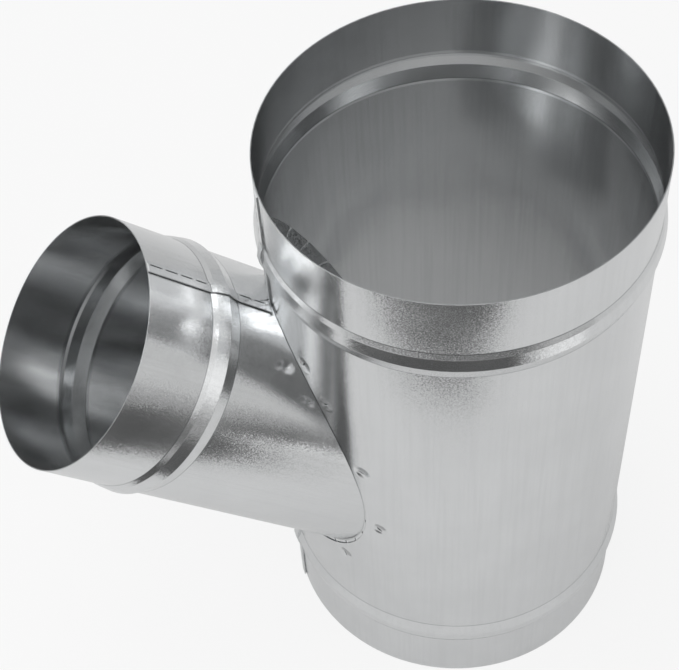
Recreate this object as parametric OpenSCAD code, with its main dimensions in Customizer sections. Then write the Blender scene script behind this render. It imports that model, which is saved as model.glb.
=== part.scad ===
// Reducing duct Y branch of galvanised sheet.
// A round main duct stands on its lower end, and a smaller round duct leaves its side at a slant.
// Each duct is one rolled sheet with a lock seam along it and a stop bead near each open end.
// Tabs at the root of the branch are folded out against the inside of the main duct.
// Origin: centre of the main duct's lower rim. +Z runs up its axis and the branch leans towards -X.

/* [Sheet] */
// Thickness of the sheet
sheet = 0.8; // [0.7:0.1:1.2]

/* [Main duct] */
// Outside diameter of the main duct
main_d = 305; // [290:1:330]
// Height of the main duct
main_h = 555; // [550:5:700]
// From the upper rim to its stop bead
top_bead_from_end = 56; // [30:1:60]
// From the lower rim to its stop bead
bottom_bead_from_end = 60; // [30:1:64]

/* [Branch duct] */
// Outside diameter of the branch duct
branch_d = 203; // [150:1:210]
// Slant of the branch away from the main duct's axis, in degrees
branch_angle = 46; // [45:1:55]
// Height at which the branch's axis crosses the main duct's axis
branch_z = 140.5; // [135:0.5:160]
// From the main duct's axis to the branch's rim, along the branch's axis
branch_reach = 433; // [425:1:520]
// From the branch's rim to its stop bead
branch_bead_from_end = 59; // [30:1:62]

/* [Stop beads] */
// Width of the bead's steep flank, on the side of the open end
bead_lead = 4.5; // [3:0.5:6]
// Height reached by the steep flank
bead_lead_rise = 2; // [1:0.1:2.5]
// Width of the bead's sloping crown
bead_crown = 11; // [8:0.5:12]
// Height of the bead's ridge above the duct
bead_rise = 3.7; // [2.6:0.1:4.5]
// Width of the bead's long flank, on the side of the joint
bead_tail = 11.5; // [8:0.5:13]

/* [Lock seams] */
// Width of the folded lock of a seam
seam_w = 7.4; // [6:0.2:8]
// Width of the single sheet that shows beside the lock
seam_lap_w = 3; // [2:0.5:4]
// Height of the lock above the duct
seam_rise = 1.7; // [1.2:0.1:2.4]
// Height of the single sheet beside the lock above the duct
seam_lap_rise = 0.7; // [0.4:0.1:1]
// Height of the gap under the open edge of the lock
seam_gap = 0.7; // [0.4:0.1:0.8]
// Depth of that gap, under the lock
seam_gap_w = 1.5; // [0.5:0.1:2]
// Length over which the main duct's lock stands open, from the lower rim
main_seam_open = 40; // [20:5:60]
// Turn of the main duct's lock from the plane of the Y, in degrees
main_seam_turn = -0.6; // [-1.5:0.1:1.5]
// Turn of the branch's lock from the crotch of the Y, in degrees
branch_seam_turn = 3.3; // [2.5:0.1:12]
// Distance from one stitch of the lock to the next
stitch_pitch = 14.5; // [13:0.5:18]
// Length of a stitch
stitch_l = 11.5; // [6:0.5:12]
// Width of a stitch
stitch_w = 1.2; // [0.8:0.1:1.6]
// Distance of the stitches from the lock's folded edge
stitch_lip = 0.5; // [0.4:0.1:1]
// Height of a stitch's floor above the duct
stitch_floor = 0.3; // [0.2:0.1:0.6]

/* [Joint] */
// Share of the room between the branch and the main duct's bore that the tabs reach over
tab_share = 0.86; // [0.6:0.02:0.88]
// Number of tabs round the root of the branch
tab_count = 36; // [18:1:40]
// Slot between two tabs
tab_slot = 2.5; // [1:0.5:4]
// Play of the branch in its hole, which opens at the heel
hole_play = 3.6; // [1:0.2:4.4]
// Least gap between the branch and the edge of its hole
hole_clearance = 0.2; // [0.1:0.1:0.5]
// Distance of the stake marks from the branch
stake_out = 11; // [8:1:14]
// Length of a stake mark
stake_l = 9; // [6:0.5:10]
// Width of a stake mark at the face of the sheet
stake_w = 2.4; // [1.5:0.1:3]
// Depth of a stake mark in the sheet
stake_depth = 0.6; // [0.3:0.1:0.6]
// Places of the stake marks round the branch, in degrees from the crotch, on both sides
stake_turns = [30, 43, 66, 92, 132];

/* [Hidden] */
// Overrun of cuts
cut = 1;
main_r = main_d / 2;
branch_r = branch_d / 2;
main_bore_r = main_r - sheet;
branch_bore_r = branch_r - sheet;
bead_w = bead_lead + bead_crown + bead_tail;
// Reach of the tabs beyond the branch, on the inside of the main duct
tab_reach = (main_bore_r - branch_r) * tab_share;
// Radius of the hole in the main duct, and how far it is set towards the heel
hole_r = branch_r + hole_play / 2 + hole_clearance;
hole_shift = hole_play / 2;
// Sunk depths in the sheet under them: of a seam's lock, of its lapped sheet and of the tabs
lock_root = sheet / 2;
lap_root = sheet / 4;
tab_root = sheet / 3;
// Radius of the space that the branch's seam leaves free round the main duct
seam_stop_r = main_r + seam_rise + hole_clearance;

$fn = 128;

// Outline of one end, from the rim inwards, as [rise above the duct, distance from the rim]
function end_line(bead_from_end) = [
    [0, 0],
    [0, bead_from_end],
    [bead_lead_rise, bead_from_end + bead_lead],
    [bead_rise, bead_from_end + bead_lead + bead_crown],
    [0, bead_from_end + bead_w]
];

function reversed(list) = [for (i = [len(list) - 1 : -1 : 0]) list[i]];

// Outline of an end, turned over to lie at the far end of a duct of length l
function far_end_line(bead_from_end, l) = reversed([for (p = end_line(bead_from_end)) [p.x, l - p.y]]);

main_line = concat(end_line(bottom_bead_from_end), far_end_line(top_bead_from_end, main_h));
branch_line = concat([[0, 0]], far_end_line(branch_bead_from_end, branch_reach));

// The outline set off from a duct's axis by r
function offset_line(line, r) = [for (p = line) [p.x + r, p.y]];

// A band between two radii that follows the outline, over the given angle
module turned_band(line, r_in, r_out, angle = 360) {
    rotate_extrude(angle = angle)
        polygon(concat(offset_line(line, r_out), reversed(offset_line(line, r_in))));
}

// Angle that a width w takes up on a duct of radius r
function arc_angle(w, r) = asin(w / r);

// The outline made longer at both ends, for a cut that runs out of the duct
function overrun(line) = [
    for (i = [0 : len(line) - 1])
        line[i] + [0, i == 0 ? -cut : i == len(line) - 1 ? cut : 0]
];

// Lock seam along +X: the folded lock on the +Y side, and the lapped sheet on the -Y side.
// The lock's free edge stands open along open_line
module lock_seam(line, open_line, r) {
    lock_angle = arc_angle(seam_w, r);
    gap_angle = arc_angle(seam_gap_w, r);
    lap_angle = arc_angle(seam_lap_w, r);
    difference() {
        turned_band(line, r - lock_root, r + seam_rise, lock_angle);
        rotate([0, 0, lock_angle - gap_angle])
            turned_band(open_line, r - lap_root, r + seam_gap, gap_angle * 2);
    }
    rotate([0, 0, -lap_angle])
        turned_band(line, r - lap_root, r + seam_lap_rise, lap_angle * 2);
}

// Stitches pressed into the lock beside the lap, on the straight stretch from z0 to z1
module seam_stitches(r, z0, z1) {
    count = floor((z1 - z0 - 2 * stitch_w - stitch_l) / stitch_pitch) + 1;
    start = (z0 + z1 - (count - 1) * stitch_pitch - stitch_l) / 2;
    for (i = [0 : count - 1])
        translate([r + stitch_floor, stitch_lip, start + i * stitch_pitch])
            cube([seam_rise + cut, stitch_w, stitch_l]);
}

// The seam's own frame on each duct, with the lock towards -Y
module at_main_seam() {
    rotate([0, 0, 180 + main_seam_turn])
        children();
}

module at_branch_seam() {
    rotate([0, 0, -branch_seam_turn])
        mirror([0, 1, 0])
            children();
}

// Frame of the branch: its own +Z runs out along its axis, its own +X faces the crotch of the Y
module in_branch_frame() {
    translate([0, 0, branch_z])
        rotate([0, -branch_angle, 0])
            children();
}

// Frame of the main duct, seen from inside the branch's frame
module in_main_frame() {
    rotate([0, branch_angle, 0])
        translate([0, 0, -branch_z])
            children();
}

// Where a line at [x, y] of the branch's frame leaves a cylinder of radius r on the main duct's axis,
// as a distance along the branch
function run_to(r, x, y) = (x * cos(branch_angle) + sqrt(r * r - y * y)) / sin(branch_angle);

// Point on the main duct for a turn about the branch and a distance from the branch's axis
function stake_point(turn, rho) =
    let (x = rho * cos(turn), y = rho * sin(turn), run = run_to(main_r, x, y))
    [
        x * cos(branch_angle) - run * sin(branch_angle),
        y,
        branch_z + x * sin(branch_angle) + run * cos(branch_angle)
    ];

// A groove pressed into the main duct, pointing away from the branch
module stake_mark(turn) {
    near = stake_point(turn, branch_r + stake_out);
    far = stake_point(turn, branch_r + stake_out + stake_l);
    azimuth = atan2(near.y, near.x);
    across = (far.y - near.y) * cos(azimuth) - (far.x - near.x) * sin(azimuth);
    lean = atan2(far.z - near.z, across);
    // A wheel of this radius presses a mark of the stated length, width and depth
    wheel_r = (stake_l * stake_l / 4 + stake_depth * stake_depth) / (2 * stake_depth);
    rotate([0, 0, azimuth])
        translate([main_r - stake_depth + wheel_r, 0, near.z])
            rotate([lean, 0, 0])
                rotate_extrude()
                    polygon([
                        [wheel_r - 2 * stake_depth, -stake_w],
                        [wheel_r, 0],
                        [wheel_r - 2 * stake_depth, stake_w]
                    ]);
}

module main_tube() {
    color("silver")
    difference() {
        union() {
            turned_band(main_line, main_bore_r, main_r);
            at_main_seam()
                lock_seam(main_line, [[0, -cut], [0, main_seam_open]], main_r);
        }
        at_main_seam() {
            seam_stitches(main_r, 0, bottom_bead_from_end);
            seam_stitches(main_r, bottom_bead_from_end + bead_w, main_h - top_bead_from_end - bead_w);
            seam_stitches(main_r, main_h - top_bead_from_end, main_h);
        }
        in_branch_frame()
            translate([-hole_shift, 0, 0])
                cylinder(r = hole_r, h = branch_reach);
        for (turn = stake_turns)
            for (side = [-1, 1])
                stake_mark(side * turn);
    }
}

// The tabs before the main duct's bore trims them: a thick collar with a slot between each two
module tabs() {
    difference() {
        cylinder(r = branch_r + tab_reach, h = branch_reach);
        translate([0, 0, -cut])
            cylinder(r = branch_r - tab_root, h = branch_reach + 2 * cut);
        for (i = [0 : tab_count - 1])
            rotate([0, 0, (i + 1 / 2) * 360 / tab_count])
                translate([branch_r + sheet, -tab_slot / 2, -cut])
                    cube([tab_reach + cut, tab_slot, branch_reach + 2 * cut]);
    }
}

module branch_tube() {
    color("gainsboro")
    in_branch_frame()
        difference() {
            union() {
                turned_band(branch_line, branch_bore_r, branch_r);
                intersection() {
                    tabs();
                    in_main_frame() cylinder(r = main_bore_r, h = main_h);
                }
                difference() {
                    at_branch_seam()
                        lock_seam(branch_line, overrun(branch_line), branch_r);
                    in_main_frame() cylinder(r = seam_stop_r, h = main_h);
                }
            }
            in_main_frame() cylinder(r = main_bore_r - sheet, h = main_h);
            at_branch_seam() {
                seam_stitches(
                    branch_r,
                    run_to(seam_stop_r, branch_r + seam_rise, 0) + stitch_w,
                    branch_reach - branch_bead_from_end - bead_w
                );
                seam_stitches(branch_r, branch_reach - branch_bead_from_end, branch_reach);
            }
        }
}

main_tube();
branch_tube();
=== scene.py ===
"""Looks of the galvanised duct Y branch: zinc finish, a light tent and the photograph's camera."""
import math

import bpy
from mathutils import Euler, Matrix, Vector

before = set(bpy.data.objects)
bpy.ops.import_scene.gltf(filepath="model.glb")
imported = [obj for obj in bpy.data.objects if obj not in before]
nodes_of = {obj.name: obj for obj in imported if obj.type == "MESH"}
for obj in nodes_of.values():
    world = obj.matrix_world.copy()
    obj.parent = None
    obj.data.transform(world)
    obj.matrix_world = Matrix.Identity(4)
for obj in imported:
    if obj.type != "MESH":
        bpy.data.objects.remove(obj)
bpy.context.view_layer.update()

# Sizes that part.scad gives, in metres
MAIN_R = 0.1525
BRANCH_R = 0.1015
BRANCH_ANGLE = math.radians(46)
BRANCH_FOOT = (0.0, 0.0, 0.1405)
MAIN_BEADS = (0.060, 0.472)
BRANCH_BEADS = (0.347,)
BEAD_W = 0.027
STAKE_REACH = BRANCH_R + 0.011
STAKE_TURNS = (30, 43, 66, 92, 132)

# How fine each noise is, per metre
GRAIN = 950.0
ROLLING_LINES = 330.0
CREASES = 210.0
CLOUDS = 22.0
DENTS = 13.0

# Depths and reaches of what the finish shows, in metres
DENT_DEPTH = 0.0012
STRAIN_DEPTH = 0.0046
STRAIN_REACH = 0.05
PIT_DEPTH = 0.0018
PIT_FLOOR_R = 0.0015
PIT_R = 0.0085
CREASE_DEPTH = 0.004
CORNER_R = 0.0004
BEAD_CORNER_R = 0.0009
LINE_HALF_W = 0.0003

# A slant at which no surface of a duct lies along the grid of a noise
SLANT = (0.5, 0.35, 0.8)


# ---------------------------------------------------------------- shader nodes

class Tree:
    """A short way to write shader nodes."""

    def __init__(self, owner):
        owner.use_nodes = True
        self.nodes = owner.node_tree.nodes
        self.links = owner.node_tree.links
        self.nodes.clear()

    def add(self, kind, inputs=None, **settings):
        node = self.nodes.new(kind)
        for key, value in settings.items():
            setattr(node, key, value)
        for key, value in (inputs or {}).items():
            socket = node.inputs[key]
            if isinstance(value, bpy.types.NodeSocket):
                self.links.new(value, socket)
            else:
                socket.default_value = value
        return node

    def finish(self, shader, output="ShaderNodeOutputMaterial"):
        self.links.new(shader.outputs[0], self.add(output).inputs["Surface"])

    def math(self, operation, *values):
        return self.add("ShaderNodeMath", dict(enumerate(values)), operation=operation).outputs[0]

    def times(self, a, b):
        return self.math("MULTIPLY", a, b)

    def more_of(self, a, b):
        return self.math("MAXIMUM", a, b)

    def without(self, value, mask):
        return self.times(value, self.math("SUBTRACT", 1.0, mask))

    def length_of(self, a, b):
        return self.math("SQRT", self.math("ADD", self.times(a, a), self.times(b, b)))

    def vector(self, operation, *values):
        node = self.add("ShaderNodeVectorMath", dict(enumerate(values)), operation=operation)
        return node.outputs["Vector"]

    def measure(self, operation, a, b):
        return self.add("ShaderNodeVectorMath", {0: a, 1: b}, operation=operation).outputs["Value"]

    def ranged(self, value, low, high, to_low=0.0, to_high=1.0):
        sockets = {
            "Value": value, "From Min": low, "From Max": high, "To Min": to_low, "To Max": to_high,
        }
        node = self.add("ShaderNodeMapRange", sockets, interpolation_type="SMOOTHSTEP")
        return node.outputs["Result"]

    def window(self, value, start, end, soft):
        """1 from start to end, and 0 beyond a soft border."""
        rise = self.ranged(value, start - soft, start)
        fall = self.ranged(value, end, end + soft, 1.0, 0.0)
        return self.times(rise, fall)

    def noise(self, vector, scale, detail, roughness):
        sockets = {"Vector": vector, "Scale": scale, "Detail": detail, "Roughness": roughness}
        return self.add("ShaderNodeTexNoise", sockets).outputs

    def blend(self, factor, a, b):
        return self.add("ShaderNodeMix", {0: factor, 6: a, 7: b}, data_type="RGBA").outputs[2]

    def mapped(self, vector, kind="POINT", **inputs):
        node = self.add("ShaderNodeMapping", {"Vector": vector, **inputs}, vector_type=kind)
        return node.outputs["Vector"]

    def parts(self, vector):
        return self.add("ShaderNodeSeparateXYZ", {"Vector": vector}).outputs

    def bump(self, height, distance, normal):
        sockets = {"Height": height, "Distance": distance, "Normal": normal}
        return self.add("ShaderNodeBump", sockets).outputs["Normal"]

    def bevel(self, radius, samples):
        return self.add("ShaderNodeBevel", {"Radius": radius}, samples=samples).outputs["Normal"]


def grey(level):
    """The slightly cool grey of zinc."""
    return (level, level + 0.01, level + 0.016, 1.0)


def neutral(level):
    return (level, level, level, 1.0)


ZINC = grey(0.76)
PALE_ZINC = grey(0.80)
ROLLED = grey(0.69)
SPECK = grey(0.86)
MAIN_INSIDE_SHADE = grey(0.60)
MAIN_GROOVE_HIGHLIGHT = grey(0.97)
BRANCH_INSIDE_LIGHT = grey(0.95)
BRANCH_GROOVE_SHADE = grey(0.52)
CUT_EDGE = grey(0.72)
BEAD_LINE_SHADE = grey(0.30)
TAB_SHADE = grey(0.36)
CREVICE_SHADE = grey(0.10)


# ---------------------------------------------------------------- the zinc finish

def stake_point(turn):
    """Start of a stake mark on the main duct, at a turn round the branch from the crotch."""
    turn = math.radians(turn)
    x, y = STAKE_REACH * math.cos(turn), STAKE_REACH * math.sin(turn)
    sin, cos = math.sin(BRANCH_ANGLE), math.cos(BRANCH_ANGLE)
    run = (x * cos + math.sqrt(MAIN_R**2 - y**2)) / sin
    return (x * cos - run * sin, y, BRANCH_FOOT[2] + x * sin + run * cos)


def in_branch_frame(t, place):
    """A place as the branch sees it: from its foot, with its axis as z."""
    away = tuple(-value for value in BRANCH_FOOT)
    return t.mapped(t.mapped(place, Location=away), Rotation=(0.0, BRANCH_ANGLE, 0.0))


def galvanised(name, on_branch, radius, beads, sparkle, seed):
    """Zinc-coated sheet: fine sparkle, faint clouds, rolling lines and shallow dents, with painted
    shade and painted highlights in its colour.
    """
    material = bpy.data.materials.new(name)
    t = Tree(material)
    coords = t.add("ShaderNodeTexCoord").outputs
    tilt = BRANCH_ANGLE if on_branch else 0.0

    # Where a point lies on the duct, with the duct's axis as z
    place = in_branch_frame(t, coords["Object"]) if on_branch else coords["Object"]
    x, y, z = t.parts(place)
    out = t.length_of(x, y)
    height = t.math("SUBTRACT", out, radius)
    nx, ny, nz = t.parts(t.mapped(coords["Normal"], "VECTOR", Rotation=(0.0, tilt, 0.0)))
    facing_out = t.math("DIVIDE", t.math("ADD", t.times(nx, x), t.times(ny, y)), out)
    inside = t.ranged(facing_out, -0.3, -0.1, 1.0, 0.0)
    cut_edge = t.ranged(t.math("ABSOLUTE", nz), 0.9, 0.97)
    on_bead = bead_line_shade = 0.0
    for start in beads:
        end = start + BEAD_W
        on_bead = t.more_of(t.window(z, start - 0.002, end + 0.002, 0.002), on_bead)
        for edge in (start, end):
            line = t.window(z, edge - LINE_HALF_W, edge + LINE_HALF_W, LINE_HALF_W)
            bead_line_shade = t.more_of(line, bead_line_shade)
    # Stake marks lie just below the duct's outer face, and stitches just above it; painted shade
    # darkens both
    sunk = t.window(height, -0.0006, -0.0003, 0.0001)
    stitched = t.window(height, 0.00026, 0.00034, 0.00008)
    crevice_shade = t.without(t.more_of(sunk, stitched), on_bead)
    # The branch's tabs flare out from its root; their colour is painted shade, while their extra
    # roughness and creases are the sheet's own
    tab = t.without(t.ranged(height, 0.0024, 0.0034), on_bead) if on_branch else 0.0
    # The joint is where the other duct's wall passes
    other_place = coords["Object"] if on_branch else in_branch_frame(t, coords["Object"])
    other_radius = MAIN_R if on_branch else BRANCH_R
    other_x, other_y, _ = t.parts(other_place)
    to_joint = t.math("SUBTRACT", t.length_of(other_x, other_y), other_radius)

    # The sheet laid flat: round the duct, along it and out of it
    girth = t.times(t.math("ARCTAN2", y, x), radius)
    sheet = t.add("ShaderNodeCombineXYZ", {0: girth, 1: z, 2: out}).outputs[0]
    offset = (seed, seed, seed)
    flat = t.mapped(sheet, Location=offset, Rotation=SLANT)
    drawn = t.mapped(sheet, Location=offset, Rotation=SLANT, Scale=(1.0, 0.02, 1.0))
    solid = t.mapped(place, Location=offset, Rotation=SLANT)
    stretched = t.mapped(place, Location=offset, Scale=(1.0, 1.0, 0.7))
    grain = t.noise(flat, GRAIN, 1.0, 0.6)
    streaks = t.noise(drawn, ROLLING_LINES, 2.0, 0.6)["Fac"]
    clouds = t.noise(solid, CLOUDS, 3.0, 0.55)["Fac"]
    dents = t.noise(stretched, DENTS, 1.0, 0.4)["Fac"]

    speck = t.without(t.ranged(grain["Fac"], 0.38, 0.62), inside)
    streak = t.times(t.ranged(streaks, 0.4, 0.7), t.ranged(inside, 0.0, 1.0, 0.3, 0.8))
    in_groove = t.times(inside, on_bead)
    base = t.blend(t.ranged(clouds, 0.3, 0.7), ZINC, PALE_ZINC)
    base = t.blend(streak, base, ROLLED)
    base = t.blend(t.times(speck, 0.15), base, SPECK)
    if on_branch:
        # Painted light: the inside of the branch is painted lighter
        base = t.blend(t.times(inside, 0.22), base, BRANCH_INSIDE_LIGHT)
        # Painted shade: the groove inside the branch's bead is painted darker
        base = t.blend(t.times(in_groove, 0.6), base, BRANCH_GROOVE_SHADE)
    else:
        # Painted shade: the inside of the main duct is painted darker
        base = t.blend(t.times(inside, 0.5), base, MAIN_INSIDE_SHADE)
        # Painted highlight: the groove inside each bead of the main duct is painted near white
        base = t.blend(in_groove, base, MAIN_GROOVE_HIGHLIGHT)
    # Painted shade: thin dark lines along the creases at each bead's edges
    base = t.blend(t.times(bead_line_shade, 0.6), base, BEAD_LINE_SHADE)
    base = t.blend(cut_edge, base, CUT_EDGE)
    # Painted shade in the stake marks and stitches
    base = t.blend(crevice_shade, base, CREVICE_SHADE)
    if on_branch:
        # Painted shade on the tabs inside the main duct
        base = t.blend(t.times(tab, 0.8), base, TAB_SHADE)
    cloud_rough = t.ranged(clouds, 0.25, 0.75, 0.15, 0.20)
    rough = t.math("ADD", cloud_rough, t.ranged(speck, 0.0, 1.0, 0.03, 0.0))
    rough = t.math("ADD", rough, t.times(t.more_of(cut_edge, tab), 0.25))

    softened = {0: on_bead, 4: t.bevel(CORNER_R, 3), 5: t.bevel(BEAD_CORNER_R, 4)}
    normal = t.add("ShaderNodeMix", softened, data_type="VECTOR").outputs[1]
    # The sheet is strained near the joint, and round each stake mark of the main duct
    strain = t.ranged(to_joint, 0.0, STRAIN_REACH, STRAIN_DEPTH, DENT_DEPTH)
    normal = t.bump(dents, strain, normal)
    if not on_branch:
        pits = 0.0
        for turn in STAKE_TURNS:
            for side in (1, -1):
                gap = t.measure("DISTANCE", coords["Object"], stake_point(side * turn))
                pits = t.more_of(t.ranged(gap, PIT_FLOOR_R, PIT_R, 1.0, 0.0), pits)
        normal = t.bump(pits, -PIT_DEPTH, normal)
    tilts = t.vector("SUBTRACT", grain["Color"], (0.5, 0.5, 0.5))
    tilts = t.vector("MULTIPLY", tilts, t.without(sparkle, inside))
    normal = t.vector("NORMALIZE", t.vector("ADD", normal, tilts))
    if on_branch:
        creases = t.noise(solid, CREASES, 2.0, 0.6)["Fac"]
        normal = t.bump(creases, t.times(tab, CREASE_DEPTH), normal)

    t.finish(t.add(
        "ShaderNodeBsdfPrincipled",
        {"Base Color": base, "Metallic": 1.0, "Roughness": rough, "Normal": normal},
    ))
    return material


def dress(node, material):
    materials = nodes_of[node].data.materials
    materials.clear()
    materials.append(material)


dress("main_tube", galvanised("galvanised_main", False, MAIN_R, MAIN_BEADS, 0.14, 3.1))
dress("branch_tube", galvanised("galvanised_branch", True, BRANCH_R, BRANCH_BEADS, 0.17, 7.7))


# ---------------------------------------------------------------- the light tent

AIM = (-0.05, 0.0, 0.25)
FLOOR_HALF = 3.0
VIEWER_AZIMUTH = math.radians(-109.1)
OPENING_AZIMUTH = -114.0
BRIGHT_AZIMUTH = -169.0
PANEL_AZIMUTH = -49.0


def card(name, corners, material):
    """A flat piece of the studio."""
    mesh = bpy.data.meshes.new(name)
    mesh.from_pydata(corners, [], [tuple(range(len(corners)))])
    mesh.materials.append(material)
    piece = bpy.data.objects.new(name, mesh)
    bpy.context.scene.collection.objects.link(piece)
    return piece


def seen_directly(t):
    """1 for what the camera sees, itself or through a surface, and 0 for light and reflections."""
    path = t.add("ShaderNodeLightPath").outputs
    return t.more_of(path["Is Camera Ray"], path["Is Transmission Ray"])


def floor_material():
    """A pale table that glows from below: near white to the camera, with the shadow kept."""
    material = bpy.data.materials.new("pale_floor")
    t = Tree(material)
    cover = t.add("ShaderNodeBsdfDiffuse", {"Color": neutral(0.52)})
    lamp_below = t.add("ShaderNodeEmission", {"Color": neutral(1.0), "Strength": 0.17})
    white = t.add("ShaderNodeEmission", {"Color": neutral(1.0), "Strength": 1.0})
    lit = t.add("ShaderNodeAddShader", {0: cover.outputs[0], 1: lamp_below.outputs[0]})
    share = t.times(seen_directly(t), 0.8)
    t.finish(t.add("ShaderNodeMixShader", {0: share, 1: lit.outputs[0], 2: white.outputs[0]}))
    return material


def plain_material(name, kind, **sockets):
    material = bpy.data.materials.new(name)
    t = Tree(material)
    t.finish(t.add(kind, sockets))
    return material


def on_floor(distance, turn, z):
    azimuth = VIEWER_AZIMUTH + math.radians(turn)
    return (distance * math.cos(azimuth), distance * math.sin(azimuth), z)


def flag(outline, material, z):
    """A flat piece on the floor, seen only in the metal.

    A corner is a distance from the main duct's axis and a turn from the camera's side, in degrees.
    """
    corners = [on_floor(distance, turn, z) for distance, turn in outline]
    piece = card(material.name, corners, material)
    piece.visible_camera = False
    piece.visible_diffuse = False
    piece.visible_shadow = False


card(
    "floor",
    [
        (-FLOOR_HALF, -FLOOR_HALF, 0.0),
        (FLOOR_HALF, -FLOOR_HALF, 0.0),
        (FLOOR_HALF, FLOOR_HALF, 0.0),
        (-FLOOR_HALF, FLOOR_HALF, 0.0),
    ],
    floor_material(),
)

# Dark and grey patches lying flat on the floor in front, towards the camera, make the dark bands
# in the metal
NEAR_DARK_PATCH = [
    (0.64, -46), (0.58, -36), (0.53, -26), (0.505, -14), (0.495, 0), (0.51, 10), (0.57, 20),
    (0.66, 27), (0.86, 34), (0.87, 50), (0.98, 62), (1.40, 62), (1.40, 45), (1.35, 30),
    (1.35, 15), (1.35, 0), (1.30, -15), (1.20, -30), (1.00, -45), (0.80, -52),
]
FAR_GREY_PATCH = [
    (1.35, -24), (1.37, 0), (1.37, 30), (1.39, 62), (2.90, 66), (2.90, 40), (2.90, 15),
    (2.90, -12),
]
LOW_FILL = [(0.74, 38), (0.71, 50), (0.70, 60), (0.77, 62), (0.82, 50), (0.83, 39)]
flag(
    FAR_GREY_PATCH,
    plain_material("far_grey_patch", "ShaderNodeBsdfDiffuse", Color=neutral(0.42)),
    z=0.001,
)
flag(
    NEAR_DARK_PATCH,
    plain_material("near_dark_patch", "ShaderNodeBsdfDiffuse", Color=neutral(0.09)),
    z=0.002,
)
flag(
    LOW_FILL,
    plain_material("low_fill", "ShaderNodeEmission", Color=neutral(1.0), Strength=1.3),
    z=0.004,
)


def softbox(name, place, side, power):
    lamp = bpy.data.lights.new(name, "AREA")
    lamp.shape = "SQUARE"
    lamp.size, lamp.energy = side, power
    box = bpy.data.objects.new(name, lamp)
    bpy.context.scene.collection.objects.link(box)
    box.location = place
    box.rotation_mode = "QUATERNION"
    box.rotation_quaternion = (Vector(AIM) - Vector(place)).to_track_quat("-Z", "Y")


softbox("overhead", (-0.35, 0.0, 2.8), 1.1, 10.0)
softbox("left_box", (-1.2, 0.8, 2.2), 1.3, 8.0)
softbox("front_box", (-0.6, -1.15, 2.5), 0.9, 7.0)


def light_tent():
    """Walls of light, brighter on the left, with a bright panel and a dark opening in front."""
    world = bpy.data.worlds.new("light_tent")
    bpy.context.scene.world = world
    t = Tree(world)
    toward = t.add("ShaderNodeTexCoord").outputs["Generated"]
    up = t.parts(toward)["Z"]

    def towards(azimuth, rise=0.0):
        azimuth = math.radians(azimuth)
        return t.measure("DOT_PRODUCT", toward, (math.cos(azimuth), math.sin(azimuth), rise))

    level = t.math("MULTIPLY_ADD", towards(BRIGHT_AZIMUTH), 0.19, 0.705)
    level = t.math("MULTIPLY_ADD", t.more_of(up, 0.0), 0.1, level)
    panel = t.ranged(towards(PANEL_AZIMUTH, 0.47), 1.0, 1.08, 0.0, 0.42)
    level = t.math("ADD", level, panel)
    ahead = t.ranged(towards(OPENING_AZIMUTH), 0.55, 0.82)
    opening = t.times(ahead, t.ranged(up, 0.16, 0.4, 1.0, 0.0))
    level = t.times(level, t.math("MULTIPLY_ADD", opening, -0.8, 1.0))
    walls = t.add("ShaderNodeBackground", {"Color": neutral(1.0), "Strength": level})
    white = t.add("ShaderNodeBackground", {"Color": neutral(1.0), "Strength": 1.0})
    mixed = {0: seen_directly(t), 1: walls.outputs[0], 2: white.outputs[0]}
    t.finish(t.add("ShaderNodeMixShader", mixed), "ShaderNodeOutputWorld")


light_tent()


# ---------------------------------------------------------------- the photograph's camera

def photo_camera():
    data = bpy.data.cameras.new("photo_camera")
    data.lens = 85.236
    data.sensor_width = 36.0
    data.shift_x = 0.150957
    data.shift_y = 0.064598
    data.clip_start = 0.05
    camera = bpy.data.objects.new("photo_camera", data)
    camera.location = (-0.274681, -0.782237, 1.410442)
    turns = [math.radians(angle) for angle in (35.936008, 5.61162, -13.972316)]
    camera.rotation_euler = Euler(turns, "XYZ")
    bpy.context.scene.collection.objects.link(camera)
    bpy.context.scene.camera = camera


photo_camera()
bpy.context.scene.view_settings.view_transform = "Standard"
